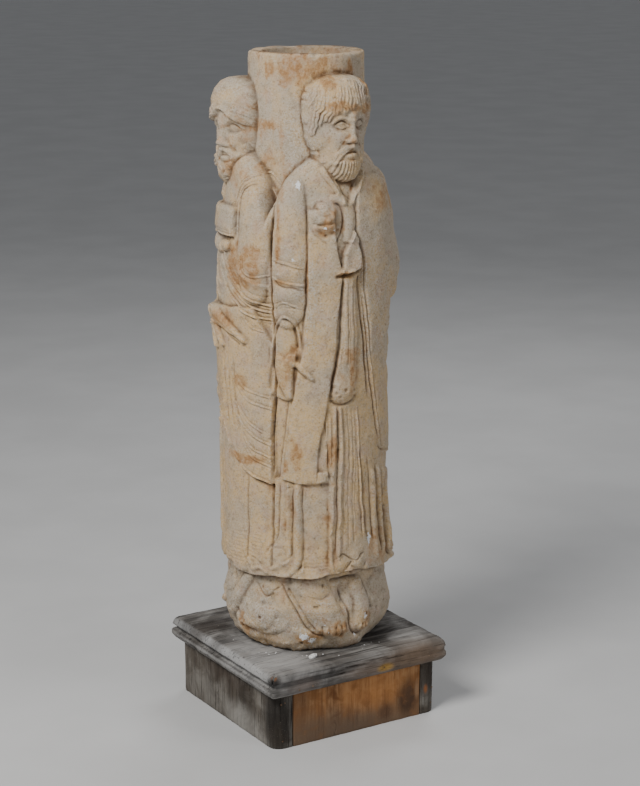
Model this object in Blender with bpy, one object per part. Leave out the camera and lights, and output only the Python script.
"""Stone column carved with three standing robed figures, on a weathered wooden plinth.

The column is one block of limestone: a plain round shaft, dished at its top, with a bearded
figure in high relief every 120 degrees and a rocky base under their feet. It stands on a plinth
of five boards: a moulded slab over two side boards and two panels, open below.

Metres, +Z up. The front figure faces -Y, and the origin is under the middle of the plinth.
The carving is worked out on the unrolled surface of the stone, in degrees round the column and
in carving units of height: the stone is CARVING_HEIGHT units high, so at its real size one
unit is one millimetre.
"""
import math

import bpy
import numpy as np

# Wooden plinth
PLINTH_WIDTH = 0.378
BOARD_HEIGHT = 0.110
SIDE_BOARD_THICKNESS = 0.041
PANEL_THICKNESS = 0.022
CORNER_ROUNDING = 0.025
SLAB_OVERHANG = 0.0155
SLAB_THICKNESS = 0.046
SLAB_NOSE = 0.016
SLAB_COVE = 0.011
COVE_DEPTH_SHARE = 0.6
NOSE_INSET_SHARE = 0.12
SLAB_CORNER = 0.009
EDGE_WEAR = 0.002
JOINT_GAP = 0.0003

# Stone
STONE_HEIGHT = 1.150
SHAFT_RADIUS = 0.109
ROBE_RADIUS = 0.168
RIM_WIDTH = 0.026
RIM_ROUNDING = 0.0055
RECESS_DEPTH = 0.022
RECESS_ROUNDING = 0.012

# Carving, in units of height
CARVING_HEIGHT = 1150
UNIT = STONE_HEIGHT / CARVING_HEIGHT
SHAFT = SHAFT_RADIUS / UNIT
ROBE = ROBE_RADIUS / UNIT
UNITS_PER_DEGREE = math.radians(ROBE)
WASTE = 4
HEM = 157
HEM_STEP = 6
SHOULDER_ROUNDING = 42
FIGURE_TURNS = {"front": 0, "left": -120, "rear": 120}
CLEFT_TURNS = (-56, 60, 180)

# Mesh
CHART_COLUMNS = 360
CHART_ROWS = 330
STONE_TRIANGLES = 8500
DISH_SEGMENTS = 40
TRIM_SEGMENTS = 24
TRIM_RADIUS = 2 * ROBE_RADIUS
ARC_STEPS = 4


def smooth(value):
    """Ease from 0 to 1 as value runs from 0 to 1."""
    value = np.clip(value, 0, 1)
    return value * value * (3 - 2 * value)


def curve(points, steps=6):
    """Return the points of a smooth curve through the given ones."""
    knots = np.array(points, dtype=float)
    if len(knots) < 3:
        return knots
    padded = np.vstack([2 * knots[0] - knots[1], knots, 2 * knots[-1] - knots[-2]])
    share = np.linspace(0, 1, steps, endpoint=False)[:, None]
    runs = []
    for before, start, end, after in zip(padded[:-3], padded[1:-2], padded[2:-1], padded[3:]):
        bend = 2 * before - 5 * start + 4 * end - after
        twist = 3 * start - before - 3 * end + after
        runs.append(start + 0.5 * ((end - before) * share + bend * share**2 + twist * share**3))
    return np.vstack(runs + [knots[-1:]])


class Surface:
    """A stretch of the stone laid out flat, and the radius that it is carved to."""

    def __init__(self, across, height, radius, scale=1.0):
        self.across = across
        self.height = height
        self.radius = radius
        self.scale = scale

    def follow(self, path, reach):
        """Return the points within reach of a path, their distance from it and progress along it."""
        line = curve(path) * (self.scale, 1)
        low = line.min(axis=0) - reach
        high = line.max(axis=0) + reach
        near = (self.across > low[0]) & (self.across < high[0])
        near &= (self.height > low[1]) & (self.height < high[1])
        spot = np.stack([self.across[near], self.height[near]], axis=1)
        distance = np.full(len(spot), np.inf)
        progress = np.zeros(len(spot))
        steps = np.diff(line, axis=0)
        lengths = np.hypot(steps[:, 0], steps[:, 1])
        walked = np.concatenate([[0], np.cumsum(lengths)])
        for start, step, length, done in zip(line, steps, lengths, walked):
            away = spot - start
            share = np.clip(away @ step / length**2, 0, 1)
            gap = np.linalg.norm(away - share[:, None] * step, axis=1)
            closer = gap < distance
            distance[closer] = gap[closer]
            progress[closer] = (done + share[closer] * length) / walked[-1]
        return near, distance, progress

    def ridge(self, path, width, lift, taper=0.0):
        """Raise a rounded ridge along a path, or sink one where lift is negative."""
        near, distance, progress = self.follow(path, width)
        shape = np.clip(1 - (distance / width) ** 2, 0, 1) ** 1.5
        if taper:
            shape *= smooth(np.minimum(progress, 1 - progress) / taper)
        self.radius[near] += lift * shape

    def groove(self, path, width, depth, taper=0.1):
        """Cut a V-shaped groove along a path."""
        near, distance, progress = self.follow(path, width)
        shape = np.clip(1 - distance / width, 0, 1)
        shape *= smooth(np.minimum(progress, 1 - progress) / taper + 0.2)
        self.radius[near] -= depth * shape

    def limb(self, path, radii, lift):
        """Raise a round limb whose half-width runs through the radii from start to end."""
        near, distance, progress = self.follow(path, max(radii))
        half = np.interp(progress, np.linspace(0, 1, len(radii)), radii)
        self.radius[near] += lift * np.sqrt(np.clip(1 - (distance / half) ** 2, 0, 1))

    def knob(self, spot, size, lift):
        """Raise a round boss, or sink a hollow where lift is negative."""
        across = (self.across - spot[0] * self.scale) / size[0]
        up = (self.height - spot[1]) / size[1]
        self.radius += lift * np.sqrt(np.clip(1 - across**2 - up**2, 0, 1))

    def panel(self, outline, lift, edge=3.0):
        """Raise everything inside a closed outline, with a sloping edge."""
        near, distance = self.within(outline)
        self.radius[near] += lift * smooth(distance / edge)

    def within(self, outline):
        """Return the points in an outline's box and their distance in from the outline's edge."""
        line = np.array(list(outline) + [outline[0]], dtype=float) * (self.scale, 1)
        low = line.min(axis=0)
        high = line.max(axis=0)
        near = (self.across > low[0]) & (self.across < high[0])
        near &= (self.height > low[1]) & (self.height < high[1])
        spot = np.stack([self.across[near], self.height[near]], axis=1)
        distance = np.full(len(spot), np.inf)
        inside = np.zeros(len(spot), dtype=bool)
        for start, end in zip(line[:-1], line[1:]):
            step = end - start
            away = spot - start
            share = np.clip(away @ step / (step @ step), 0, 1)
            distance = np.minimum(distance, np.linalg.norm(away - share[:, None] * step, axis=1))
            if step[1]:
                crosses = (spot[:, 1] > start[1]) != (spot[:, 1] > end[1])
                inside ^= crosses & (away[:, 0] < away[:, 1] * step[0] / step[1])
        distance[~inside] = 0
        return near, distance

    def fan(self, tops, bottoms, width, lift):
        """Raise folds that run down from the top points to the bottom points."""
        for top, bottom in zip(tops, bottoms):
            middle = ((top[0] * 0.62 + bottom[0] * 0.38), (top[1] + bottom[1]) / 2)
            self.ridge([top, middle, bottom], width, lift, taper=0.08)


def spread(left, right, count, height):
    """Return points evenly spread across at one height."""
    return [(across, height) for across in np.linspace(left, right, count)]


def base_chart():
    """Return the uncarved masses: rocky base, three robes, shoulders, shaft and rounded rim."""
    angle = np.linspace(-180, 180, CHART_COLUMNS, endpoint=False)[None, :]
    height = np.linspace(-WASTE, CARVING_HEIGHT + WASTE, CHART_ROWS)[:, None]
    middle = np.array([min(abs((turn - a + 180) % 360 - 180) for turn in FIGURE_TURNS.values())
                       for a in angle[0]])[None, :]

    crest = ROBE + np.interp(height, (HEM, 250, 480, 640, 760, 860, 920), (2, 0, -3, 3, 2, -8, -18))
    valley = ROBE + np.interp(height, (HEM, 190, 250, 460, 560, 655, 750, 842, 911),
                              (2, 0, -16, -18, -27, -24, -4, -8, -22))
    robe = valley + (crest - valley) * (1 - (middle / 60) ** 2.2)
    mound = ROBE + np.interp(height, (-WASTE, 0, 6, 20, 50, 90, 116, 150),
                             (-42, -38, -30, -19, -10, -8, -15, -17))
    shoulder_top = np.interp(middle, (0, 14, 24, 33, 42, 50, 54, 58, 60),
                             (970, 968, 963, 954, 940, 922, 906, 882, 868))
    hem = HEM + 5 * np.cos(np.radians(angle * 3 + 20)) + 3 * np.cos(np.radians(angle * 7))

    rounding = np.clip((height - shoulder_top + SHOULDER_ROUNDING) / SHOULDER_ROUNDING, 0, 1)
    above_hem = smooth((height - hem) / HEM_STEP)
    below = mound + (robe - mound) * above_hem
    radius = SHAFT + (below - SHAFT) * np.sqrt(1 - rounding**2)
    rim = RIM_ROUNDING / UNIT
    into_rim = np.clip(height - (CARVING_HEIGHT - rim), 0, rim)
    radius = radius - (rim - np.sqrt(rim**2 - into_rim**2))
    return angle, height, radius


def carve_sleeve(face, side, top, bottom, lift):
    """Carve an arm hanging at one side in its sleeve, cut off from the chest by a groove."""
    face.limb([(42 * side, top), (43.5 * side, (top + bottom) / 2), (44 * side, bottom)],
              (28, 35, 32), lift)
    face.groove([(31 * side, top - 20), (31.5 * side, 740), (33 * side, bottom - 50)], 5, 5)


def carve_collar(face):
    """Carve the two bands of the mantle that meet at the neck, and the tunic between them."""
    face.panel([(-16, 950), (10, 945), (-2, 880), (-5, 880)], -5, 5)
    face.ridge([(-20, 950), (-13, 915), (-5, 880)], 9, 5)
    face.ridge([(13, 938), (6, 908), (-1, 880)], 9, 5)


def carve_hem_curls(face, side, hem):
    """Carve the two pleats that run down a robe's edge and curl in at its hem."""
    face.ridge([(38 * side, 340), (38 * side, 240), (37.5 * side, 195), (42 * side, 172),
                (50 * side, hem)], 10, 6)
    face.ridge([(45 * side, 340), (44.5 * side, 250), (43.5 * side, 200), (50 * side, 184),
                (56 * side, 176)], 6, 4)
    face.groove([(41.5 * side, 335), (41.5 * side, 240), (41.5 * side, 200), (47 * side, 180)], 3, 4)
    face.groove([(50 * side, 345), (52 * side, 250), (56 * side, 220), (60 * side, 200)], 4, 4)


def carve_hem_lines(face, left, right, heights):
    """Cut the lines that edge the tunic above its hem."""
    for height in heights:
        face.groove([(left, height), (right, height - 2)], 2.2, 1.6, taper=0.02)


def carve_foot(face, ankle, toes, widths, turn):
    """Carve a foot that points down over the rock, with its toes side by side."""
    middle = ((ankle[0] + toes[0]) / 2 - 2 * turn, (ankle[1] + toes[1]) / 2 + 8)
    face.limb([ankle, middle, toes], (widths[0], sum(widths) / 2, widths[1]), 10)
    pitch = widths[1] * 0.4 / UNITS_PER_DEGREE
    for toe in range(5):
        face.knob((toes[0] + (toe - 2) * pitch, toes[1] - widths[1] * 0.5 + abs(toe - 1.5)),
                  (widths[1] * 0.24, 8), 4)


def carve_rocks(face, lumps):
    """Round the base into lumps of rock."""
    for across, height, width, lift in lumps:
        face.knob((across, height), (width, width * 0.62), lift)


def carve_front_figure(face):
    """Carve the front figure: one hand lowered, one raised with a gathered fall of cloth."""
    carve_sleeve(face, -1, 905, 680, 12)
    for height, drop in ((783, 15), (757, 17), (735, 20), (700, 8)):
        face.groove([(-54, height), (-45, height - drop * 0.6), (-33, height - drop)], 3.5, 4)
    face.ridge([(-52, 645), (-46, 668), (-39, 655), (-36, 610)], 5, 4)
    face.limb([(-46, 640), (-47.5, 590), (-45, 550), (-42, 522)], (20, 24, 19, 7), 11)
    face.limb([(-39, 578), (-33, 562), (-27, 551)], (7, 5, 4), 7)
    for finger in range(3):
        face.groove([(-49 + finger * 2.6, 572), (-47 + finger * 2, 530)], 2.5, 3)

    face.panel([(-32, 872), (-32, 610), (-38, 540), (-43, 500), (-46, 430), (-50, 352), (-42, 345),
                (-33, 344), (-24, 346), (-25, 372), (-22, 440), (-17, 520), (-13, 600), (-9, 700),
                (-8, 750), (-12, 800), (-15, 872)], 6, 4)
    face.panel([(-25, 372), (-25, 348), (-17, 351), (-17, 370)], 5, 3)
    face.panel([(-55, 510), (-44, 505), (-47, 430), (-51, 355), (-55, 350)], -8, 5)

    carve_collar(face)
    face.knob((-20, 867), (20, 19), 15)
    face.knob((-18, 833), (18, 15), 12)
    for finger in range(4):
        face.groove([(-25 + finger * 3.3, 855), (-23 + finger * 2.8, 842)], 2.5, 3)
    face.ridge([(-13, 888), (-3, 868), (0, 840), (-4, 812), (-10, 795)], 6, 7)
    face.panel([(0, 832), (-8, 790), (-12.5, 748), (-4, 752), (3.5, 760), (4, 795)], 12, 5)

    face.groove([(-12, 745), (-5, 748), (4, 755)], 8, 10, taper=0.02)
    face.fan(spread(-6.5, 1, 4, 742), spread(-15, 2, 4, 512), 6, 6)
    face.fan(spread(-4.5, -0.5, 2, 735), spread(-10, -3.5, 2, 540), 3, -5)
    face.groove([(-8, 745), (-8.5, 650), (-13, 560), (-18, 500)], 5, 7)
    face.knob((-7, 522), (26, 20), 5)

    face.panel([(6, 925), (30, 925), (46, 893), (55, 850), (57, 400), (52, 374), (34, 376), (23, 440),
                (18, 500), (13, 560), (11, 620), (8, 700), (5, 790), (2, 830)], 5, 6)
    face.ridge([(1, 828), (4.5, 790), (7, 740), (9, 700), (12, 620), (15, 560), (20, 490), (26, 430),
                (34, 372)], 7, 4)
    face.groove([(3.5, 755), (5.5, 700), (8.5, 620), (12, 540)], 5, 7)
    face.knob((50, 752), (36, 48), 7)
    for swag in range(3):
        start = 730 - swag * 70
        face.groove([(52, start), (38, start - 45), (22, start - 60)], 5, 3)

    face.fan(spread(-14.5, 2, 5, 495), spread(-15.5, 7, 5, 205), 4.5, 5)
    face.fan(spread(-12.3, 0, 4, 495), spread(-12.5, 4.5, 4, 215), 2.5, -4)
    face.groove([(4, 400), (6, 330), (8.5, 250), (13, 200)], 5, 6)
    face.knob((-5, 178), (30, 24), 7)
    face.groove([(-9, 172), (-3, 182), (1, 170), (9, 174)], 4, 6)
    face.panel([(-34, 344), (-16, 350), (-16, 168), (-34, 160)], -3, 4)
    carve_hem_curls(face, -1, 160)
    carve_hem_lines(face, -34, -16, (169, 180, 190, 199))
    face.fan(spread(18, 34, 3, 360), spread(18, 40, 3, 175), 8, 5)
    carve_hem_curls(face, 1, 163)

    carve_rocks(face, ((-62, 66, 52, 7), (-40, 30, 40, 3), (38, 55, 60, 7), (32, 122, 34, 6)))
    carve_foot(face, (-31, 146), (-14.5, 60), (38, 31), 1)
    carve_foot(face, (6, 132), (9, 56), (19, 20), -1)
    face.groove([(-50, 140), (-43, 110), (-37, 82), (-31, 55), (-24, 36)], 4, 5)
    face.knob((-6, 118), (15, 24), -8)


def carve_left_figure(face):
    """Carve the figure left of the front one: a covered arm, a book and a hand below it."""
    face.limb([(50, 880), (51, 800), (50, 715)], (33, 38, 30), 12)
    face.ridge([(33, 800), (34, 868), (40, 905), (50, 917), (58, 897), (62, 862)], 6, 5)
    face.groove([(36, 895), (35, 850), (36, 800)], 4, 5)
    carve_collar(face)

    face.panel([(-11, 806), (33, 810), (34, 866), (-10, 864)], 15, 4)
    face.groove([(-9, 814), (32, 817)], 3, 4, taper=0.02)
    face.limb([(2, 792), (16, 786), (28, 790)], (14, 17, 12), 13)
    for finger in range(4):
        face.groove([(4 + finger * 5, 800), (6 + finger * 5, 775)], 2.5, 4)

    for fold in range(4):
        face.groove([(15 + fold * 4, 800 - fold * 6), (28 + fold * 3, 742 - fold * 12),
                     (40 + fold * 2.5, 716 - fold * 17), (57, 692 - fold * 16)], 4.5, 5)
    for fold in range(3):
        face.groove([(-18 - fold * 7, 800 - fold * 12), (0 - fold * 3, 735 - fold * 22),
                     (18, 715 - fold * 26)], 5, 4)
    for fold in range(2):
        face.groove([(42, 772 - fold * 20), (48, 748 - fold * 16), (62, 752 - fold * 20)], 3.5, 4)
    face.limb([(17, 640), (30, 637), (42, 632)], (12, 16, 12), 12)
    for finger in range(3):
        face.groove([(18, 644 - finger * 7), (28, 643 - finger * 7)], 2.2, 3.5)
    face.ridge([(42, 655), (46, 640), (44, 615)], 7, 5)

    face.panel([(-46, 660), (-40, 470), (10, 468), (20, 440), (28, 408), (35, 378), (42, 358),
                (50, 347), (60, 339), (60, 600), (50, 680)], 6, 4)
    face.fan(spread(23, 31, 2, 605), spread(24, 38, 2, 405), 4, -4)
    for swag in range(5):
        height = 545 - swag * 28
        face.groove([(-38, height + 20), (-14, height - 12), (8, height - 22), (24, height + 8)],
                    4.5, 3.5)
    face.fan(spread(-40, 4, 5, 460), spread(-44, 8, 5, 200), 8, 5)
    face.groove([(44, 350), (44, 260), (46, 175)], 5, 6)
    face.groove([(12, 440), (13, 300), (14, 180)], 5, 5)
    carve_hem_lines(face, 16, 43, (176, 190, 204))
    carve_hem_curls(face, -1, 165)
    face.ridge([(46, 185), (52, 168), (60, 172)], 7, 5)

    carve_rocks(face, ((40, 45, 46, 8), (12, 110, 36, 6), (-30, 60, 60, 7), (-8, 30, 46, 5)))
    carve_foot(face, (38, 140), (24, 72), (14, 17), -1)
    carve_foot(face, (-10, 138), (-16, 56), (15, 19), 1)
    face.knob((22, 130), (9, 11), -12)


def carve_rear_figure(face):
    """Carve the rear figure, plainer than the others: both forearms crossed over the mantle."""
    carve_sleeve(face, -1, 900, 690, 11)
    carve_sleeve(face, 1, 900, 690, 11)
    carve_collar(face)
    face.limb([(-42, 690), (-28, 712), (-14, 740)], (36, 30, 24), 13)
    face.limb([(-14, 740), (-4, 762), (2, 778)], (15, 19, 14), 12)
    face.limb([(42, 672), (28, 682), (16, 692)], (36, 30, 24), 13)
    face.limb([(16, 692), (6, 698), (-3, 702)], (15, 18, 13), 12)
    for finger in range(3):
        face.groove([(-6 + finger * 3, 782 - finger * 6), (-1 + finger * 3, 756 - finger * 5)], 2.5, 3)
        face.groove([(8, 706 - finger * 8), (-3, 709 - finger * 8)], 2.5, 3)
    for fold in range(4):
        height = 660 - fold * 62
        face.groove([(-36, height + 30), (-8, height - 30), (20, height - 16), (40, height + 34)],
                    6, 4.5)
    face.panel([(-52, 640), (-50, 430), (-20, 388), (10, 352), (40, 344), (52, 352), (54, 640)], 6, 5)
    face.fan(spread(-44, -4, 5, 380), spread(-46, -4, 5, 190), 8, 5)
    face.fan(spread(10, 34, 3, 340), spread(10, 36, 3, 190), 9, 5)
    carve_hem_lines(face, -46, 36, (172, 188))
    carve_hem_curls(face, 1, 163)
    carve_rocks(face, ((-44, 52, 56, 8), (0, 30, 50, 5), (44, 60, 52, 7)))
    carve_foot(face, (-14, 138), (-18, 54), (15, 19), -1)
    carve_foot(face, (16, 138), (19, 54), (15, 19), 1)


class Head:
    """A bearded head in high relief, taken from the block in front of the shaft."""

    def __init__(self, face, turn, facing, bottom, top):
        self.face = face
        self.bottom = bottom
        self.top = top
        self.angle = np.radians(face.across / UNITS_PER_DEGREE)
        self.proud = np.zeros(face.radius.shape, dtype=bool)
        self.facing = math.radians(facing)
        distance = SHAFT + 4
        self.centre = (distance * math.sin(math.radians(turn)), distance * math.cos(math.radians(turn)))

    def lateral(self, radius):
        """Return how far points at a radius lie to the side of the head's middle."""
        east = radius * np.sin(self.angle) - self.centre[0]
        out = radius * np.cos(self.angle) - self.centre[1]
        return east * math.cos(self.facing) - out * math.sin(self.facing)

    def oval(self, heights, half_widths, half_depths):
        """Swell the stone to a stack of ovals round the head's upright axis."""
        up = self.face.height
        wide = np.interp(up, heights, half_widths)
        deep = np.interp(up, heights, half_depths)
        reach = (up > heights[0]) & (up < heights[-1])
        ray = (np.sin(self.angle - self.facing), np.cos(self.angle - self.facing))
        cos_f, sin_f = math.cos(self.facing), math.sin(self.facing)
        middle = (self.centre[0] * cos_f - self.centre[1] * sin_f,
                  self.centre[0] * sin_f + self.centre[1] * cos_f)
        wide = np.maximum(wide, 1)
        deep = np.maximum(deep, 1)
        square = (ray[0] / wide) ** 2 + (ray[1] / deep) ** 2
        linear = ray[0] * middle[0] / wide**2 + ray[1] * middle[1] / deep**2
        rest = (middle[0] / wide) ** 2 + (middle[1] / deep) ** 2 - 1
        root = linear**2 - square * rest
        hit = reach & (root > 0)
        radius = np.where(hit, (linear + np.sqrt(np.maximum(root, 0))) / square, 0)
        self.proud |= radius > self.face.radius + 1
        np.maximum(self.face.radius, radius, out=self.face.radius)

    def carve(self):
        """Carve hair, face, beard and moustache."""
        span = self.top - self.bottom
        level = [self.bottom + share * span for share in
                 (0.30, 0.34, 0.42, 0.55, 0.68, 0.80, 0.90, 0.96, 0.99, 1.0)]
        self.oval(level, (50, 56, 60, 62, 63, 61, 54, 42, 28, 8), (30, 40, 46, 52, 60, 60, 53, 41, 27, 8))
        jaw = [self.bottom + share * span for share in (0.0, 0.03, 0.10, 0.22, 0.35, 0.5, 0.66)]
        self.oval(jaw, (18, 30, 39, 45, 47, 47, 46), (34, 46, 53, 56, 56, 55, 53))

        side = self.lateral(self.face.radius)
        mask = Surface(np.where(self.proud, side, np.inf), self.face.height, self.face.radius)
        brow, eye, nose, mouth, chin = (self.bottom + share * span for share in
                                        (0.60, 0.548, 0.372, 0.29, 0.12))
        fringe = self.bottom + 0.66 * span
        mask.ridge([(-44, fringe - 12), (-26, fringe), (0, fringe + 3), (26, fringe), (44, fringe - 12)],
                   9, 6)
        mask.ridge([(-34, brow - 6), (-19, brow), (-6, brow - 4)], 5, 4)
        mask.ridge([(34, brow - 6), (19, brow), (6, brow - 4)], 5, 4)
        for cheek in (-1, 1):
            mask.knob((19 * cheek, eye), (14, 9), -5)
            mask.knob((19 * cheek, eye), (9, 5), 4)
            mask.knob((27 * cheek, nose + 8), (16, 16), 4)
            mask.limb([(3 * cheek, nose - 5), (16 * cheek, nose - 12), (25 * cheek, nose - 32)],
                      (5, 7, 4), 6)
            mask.limb([(52 * cheek, fringe), (56 * cheek, brow - 30), (55 * cheek, nose - 14)],
                      (9, 10, 8), 6)
        mask.limb([(0, brow), (0, nose + 6)], (5, 8), 10)
        mask.knob((0, nose + 5), (10, 8), 6)
        mask.groove([(-13, mouth - 3), (0, mouth), (13, mouth - 3)], 4, 4)
        for lock in np.linspace(-30, 30, 7):
            mask.groove([(lock, mouth - 22), (lock * 0.75, chin), (lock * 0.5, self.bottom + 6)], 4, 4)
        for lock in np.linspace(-150, -30, 7):
            bend = math.radians(lock)
            mask.groove([(6 * math.cos(bend), self.top - 16),
                         (62 * math.cos(bend), self.top - 40 + 34 * math.sin(bend))], 4, 3)


def carve_stone():
    """Return the carved stone's chart: angles, heights and radii."""
    angle, height, radius = base_chart()
    column_step = 360 / CHART_COLUMNS
    for turn in CLEFT_TURNS:
        cleft = Surface((angle - turn + 180) % 360 - 180 + 0 * height, height + 0 * angle, radius, 1)
        cleft.across *= UNITS_PER_DEGREE
        cleft.groove([(0, 905), (0, 760), (0, 540), (0, 350)], 6, 18, taper=0.08)
        cleft.groove([(0, 350), (0, 260), (0, 170)], 6, 8, taper=0.1)
    carvings = {"left": (carve_left_figure, (0, 43, 896, 1100)),
                "rear": (carve_rear_figure, (0, -2, 918, 1108)),
                "front": (carve_front_figure, (-4, 2, 918, 1111))}
    for name, (carve, head) in carvings.items():
        middle = round((FIGURE_TURNS[name] + 180) / column_step)
        columns = np.arange(middle - CHART_COLUMNS // 4, middle + CHART_COLUMNS // 4) % CHART_COLUMNS
        local = (angle[0, columns] - FIGURE_TURNS[name] + 180) % 360 - 180
        across = local[None, :] * UNITS_PER_DEGREE + 0 * height
        face = Surface(across, height + 0 * across, radius[:, columns], UNITS_PER_DEGREE)
        carve(face)
        Head(face, *head).carve()
        radius[:, columns] = face.radius
    rim = Surface(angle * UNITS_PER_DEGREE + 0 * height, height + 0 * angle, radius, UNITS_PER_DEGREE)
    for across, width in ((-60, 22), (-22, 14), (24, 18), (96, 20), (160, 24)):
        rim.knob((across, CARVING_HEIGHT + 2), (width, 7), -3)
    return angle[0], height[:, 0], radius


def stone_mesh():
    """Turn the chart into one closed mesh, with waste above and below that is trimmed off."""
    angle, height, radius = carve_stone()
    east = radius * np.sin(np.radians(angle)) * UNIT
    north = -radius * np.cos(np.radians(angle)) * UNIT
    up = np.repeat(height[:, None], CHART_COLUMNS, axis=1) * UNIT + stone_bottom()
    points = np.stack([east, north, up], axis=2).reshape(-1, 3)
    ends = [(0, 0, up[0, 0]), (0, 0, up[-1, 0])]
    row = np.arange(CHART_COLUMNS)
    beside = (row + 1) % CHART_COLUMNS
    faces = []
    for level in range(CHART_ROWS - 1):
        low = level * CHART_COLUMNS
        high = low + CHART_COLUMNS
        faces += np.stack([low + row, low + beside, high + beside, high + row], axis=1).tolist()
    bottom_end = len(points)
    last = bottom_end - CHART_COLUMNS
    faces += [(bottom_end, int(there), int(here)) for here, there in zip(row, beside)]
    faces += [(bottom_end + 1, int(last + here), int(last + there)) for here, there in zip(row, beside)]
    mesh = bpy.data.meshes.new("stone_column")
    mesh.from_pydata(np.vstack([points, ends]).tolist(), [], faces)
    return mesh


def stone_bottom():
    """Return the height that the stone stands at."""
    return BOARD_HEIGHT + JOINT_GAP + SLAB_THICKNESS + JOINT_GAP


def principled(name, colour, roughness):
    """Return a plain material."""
    material = bpy.data.materials.new(name)
    material.use_nodes = True
    shader = material.node_tree.nodes["Principled BSDF"]
    shader.inputs["Base Color"].default_value = (*colour, 1)
    shader.inputs["Roughness"].default_value = roughness
    return material


def place(name, mesh, material=None):
    """Put a mesh in the scene as an object of its own."""
    item = bpy.data.objects.new(name, mesh)
    bpy.context.collection.objects.link(item)
    if material:
        mesh.materials.append(material)
    return item


def hide_cutter(item):
    """Mark an object as a cutter only."""
    item.hide_render = True
    item.display_type = "WIRE"


def stacked_mesh(name, rings):
    """Return a closed mesh through a stack of level rings with the same number of points."""
    count = len(rings[0])
    points = [point for ring in rings for point in ring]
    faces = []
    for level in range(len(rings) - 1):
        low = level * count
        for spot in range(count):
            beside = (spot + 1) % count
            faces.append((low + spot, low + beside, low + count + beside, low + count + spot))
    faces.append(tuple(reversed(range(count))))
    faces.append(tuple(range(len(points) - count, len(points))))
    mesh = bpy.data.meshes.new(name)
    mesh.from_pydata(points, [], faces)
    return mesh


def circle(radius, height, segments):
    """Return a level ring of points."""
    turns = [2 * math.pi * step / segments for step in range(segments)]
    return [(radius * math.cos(turn), radius * math.sin(turn), height) for turn in turns]


def trim_cutter():
    """Return the round block between the planes that the stone's ends are sawn to."""
    bottom = stone_bottom()
    rings = [circle(TRIM_RADIUS, height, TRIM_SEGMENTS) for height in (bottom, bottom + STONE_HEIGHT)]
    cutter = place("end_saw", stacked_mesh("end_saw", rings))
    hide_cutter(cutter)
    return cutter


def recess_cutter():
    """Return the turned dish that hollows the top of the shaft."""
    top = stone_bottom() + STONE_HEIGHT
    radius = SHAFT_RADIUS - RIM_WIDTH
    floor = top - RECESS_DEPTH
    rings = []
    for step in range(ARC_STEPS + 1):
        bend = math.pi / 2 * step / ARC_STEPS
        inset = RECESS_ROUNDING * (1 - math.sin(bend))
        rise = RECESS_ROUNDING * (1 - math.cos(bend))
        rings.append(circle(radius - inset, floor + rise, DISH_SEGMENTS))
    rings.append(circle(radius, top + RECESS_DEPTH, DISH_SEGMENTS))
    cutter = place("dish_cutter", stacked_mesh("dish_cutter", rings))
    hide_cutter(cutter)
    return cutter


def make_stone(material):
    """Make the carved column: carved, thinned to its main planes, sawn flat and dished."""
    stone = place("stone_column", stone_mesh(), material)
    thin = stone.modifiers.new("thin", "DECIMATE")
    thin.ratio = STONE_TRIANGLES / (2 * CHART_COLUMNS * CHART_ROWS)
    for label, operation, cutter in (("saw", "INTERSECT", trim_cutter()),
                                     ("dish", "DIFFERENCE", recess_cutter())):
        cut = stone.modifiers.new(label, "BOOLEAN")
        cut.operation = operation
        cut.solver = "EXACT"
        cut.object = cutter


def rounded_rectangle(half_x, half_y, radii, height):
    """Return a level outline whose four corners, from -X -Y round to -X +Y, have their own radii."""
    corners = ((-1, -1, 180), (1, -1, 270), (1, 1, 0), (-1, 1, 90))
    outline = []
    for (side_x, side_y, start), radius in zip(corners, radii):
        for step in range(ARC_STEPS + 1):
            bend = math.radians(start + 90 * step / ARC_STEPS)
            outline.append((side_x * (half_x - radius) + radius * math.cos(bend),
                            side_y * (half_y - radius) + radius * math.sin(bend), height))
    return outline


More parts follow.
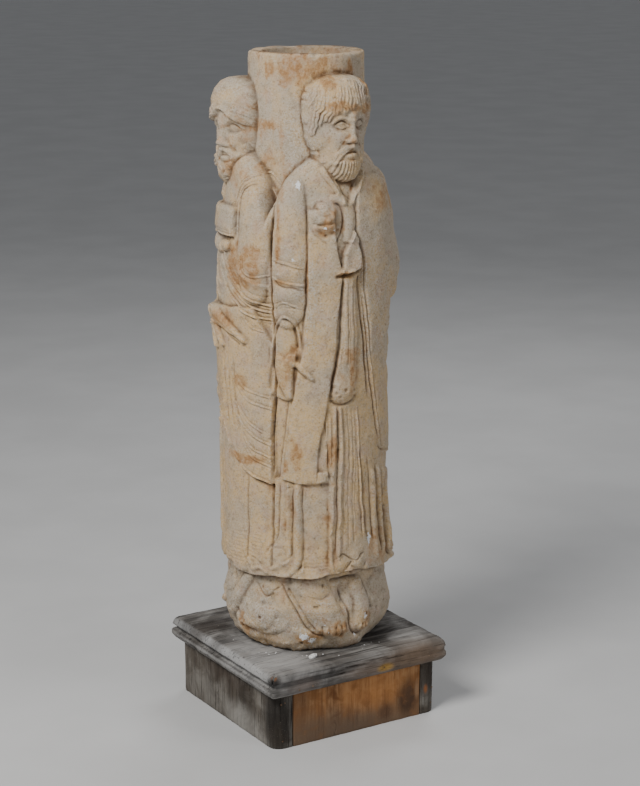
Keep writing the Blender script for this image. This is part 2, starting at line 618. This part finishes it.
def make_slab(material):
    """Make the slab: one thick board with a rounded nose, a quirk, a cove and a square lip."""
    half = PLINTH_WIDTH / 2 + SLAB_OVERHANG
    bottom = BOARD_HEIGHT + JOINT_GAP
    top = bottom + SLAB_THICKNESS
    lip = SLAB_THICKNESS - SLAB_NOSE - SLAB_COVE
    profile = [(EDGE_WEAR, bottom), (0, bottom + EDGE_WEAR), (0, bottom + lip)]
    for step in range(1, ARC_STEPS + 1):
        bend = math.pi / 2 * step / ARC_STEPS
        profile.append((SLAB_COVE * COVE_DEPTH_SHARE * (1 - math.cos(bend)),
                        bottom + lip + SLAB_COVE * math.sin(bend)))
    nose_inset = SLAB_COVE * NOSE_INSET_SHARE
    for step in range(ARC_STEPS + 1):
        bend = math.pi / 2 * step / ARC_STEPS
        profile.append((nose_inset + (SLAB_NOSE - nose_inset) * (1 - math.cos(bend)),
                        top - SLAB_NOSE + SLAB_NOSE * math.sin(bend)))
    corners = (SLAB_CORNER,) * 4
    rings = [rounded_rectangle(half - inset, half - inset, corners, height)
             for inset, height in profile]
    place("plinth_top", stacked_mesh("plinth_top", rings), material)


def make_board(name, centre, half_x, half_y, radii, material):
    """Make one upright board of the plinth's box, with its plan's corners rounded."""
    rings = [rounded_rectangle(half_x, half_y, radii, height) for height in (0, BOARD_HEIGHT)]
    shifted = [[(x + centre[0], y + centre[1], z) for x, y, z in ring] for ring in rings]
    place(name, stacked_mesh(name, shifted), material)


def make_box(side_material, front_material):
    """Make the two side boards and the two panels between them."""
    half = PLINTH_WIDTH / 2
    side_x = half - SIDE_BOARD_THICKNESS / 2
    outer_left = (CORNER_ROUNDING, EDGE_WEAR, EDGE_WEAR, CORNER_ROUNDING)
    outer_right = (EDGE_WEAR, CORNER_ROUNDING, CORNER_ROUNDING, EDGE_WEAR)
    for name, side, radii in (("plinth_left_side", -1, outer_left),
                              ("plinth_right_side", 1, outer_right)):
        make_board(name, (side * side_x, 0), SIDE_BOARD_THICKNESS / 2, half, radii, side_material)
    panel_half = half - SIDE_BOARD_THICKNESS - JOINT_GAP
    panel_y = half - PANEL_THICKNESS / 2
    for name, side, material in (("plinth_front_panel", -1, front_material),
                                 ("plinth_back_panel", 1, side_material)):
        make_board(name, (0, side * panel_y), panel_half, PANEL_THICKNESS / 2, (EDGE_WEAR,) * 4,
                   material)


def main():
    """Clear the scene and make the column and its plinth."""
    for item in list(bpy.data.objects):
        bpy.data.objects.remove(item)
    stone = principled("weathered_limestone", (0.46, 0.37, 0.28), 0.9)
    grey_wood = principled("weathered_wood", (0.16, 0.14, 0.12), 0.85)
    brown_wood = principled("stained_panel", (0.33, 0.16, 0.07), 0.7)
    make_box(grey_wood, brown_wood)
    make_slab(grey_wood)
    make_stone(stone)


main()
